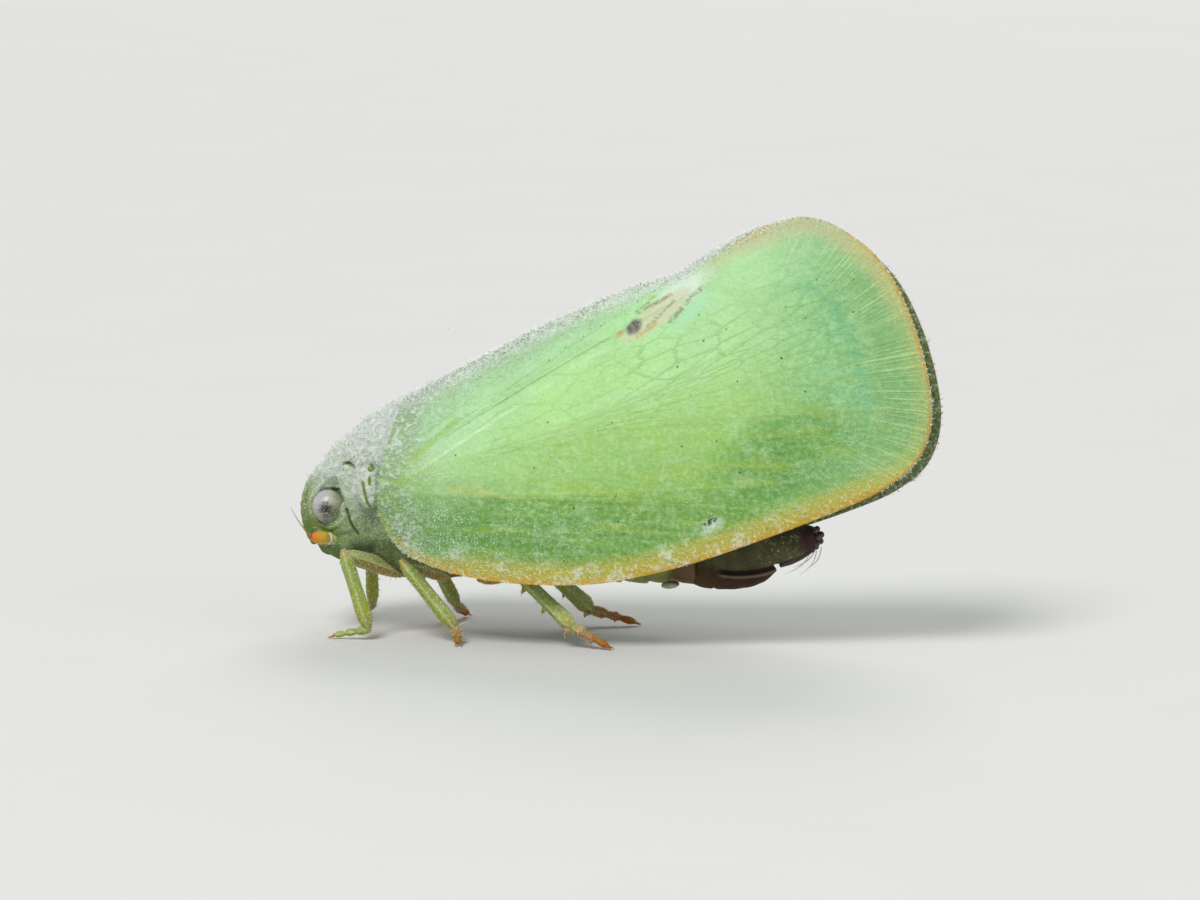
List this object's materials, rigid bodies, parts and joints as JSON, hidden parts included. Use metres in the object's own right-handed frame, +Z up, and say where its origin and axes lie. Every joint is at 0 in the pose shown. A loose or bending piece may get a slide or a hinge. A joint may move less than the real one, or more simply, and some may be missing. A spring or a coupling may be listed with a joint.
{
  "type": "green flatid planthopper",
  "caption": "Life-size still model of a green flatid planthopper at rest on its legs, with tall tent-like veined forewings held over the body.",
  "frame": {"origin": "middle of the whole insect's underside box, on the floor between the feet", "axes": "+X from head to wing tips, +Y to the insect's right, +Z up"},
  "size_m": [0.009, 0.0027, 0.0061],
  "materials": {
    "tegmen": "thin leathery wing membrane, leaf green, dusted with white wax, with an orange-yellow margin",
    "waxed_cuticle": "pale green cuticle under powdery white wax",
    "eye": "finely faceted, greyish lilac, low gloss",
    "leg": "yellow-green cuticle with a thin bloom, orange at the tarsi",
    "feeler": "orange, slightly translucent cuticle",
    "belly": "brown and pinkish-brown cuticle, blackish at the tip"
  },
  "bodies": {
    "root": {"forewing_left": "tegmen", "forewing_right": "tegmen", "head": "waxed_cuticle", "clypeus": "waxed_cuticle", "pronotum": "waxed_cuticle", "mesonotum": "waxed_cuticle", "tegula_left": "waxed_cuticle", "tegula_right": "waxed_cuticle", "thorax": "waxed_cuticle", "eye_left": "eye", "eye_right": "eye", "rostrum": "leg", "leg_fore_left": "leg", "leg_mid_left": "leg", "leg_hind_left": "leg", "leg_fore_right": "leg", "leg_mid_right": "leg", "leg_hind_right": "leg", "antenna_left": "feeler", "antenna_right": "feeler", "abdomen": "belly", "terminalia": "belly"}
  },
  "joints": []
}
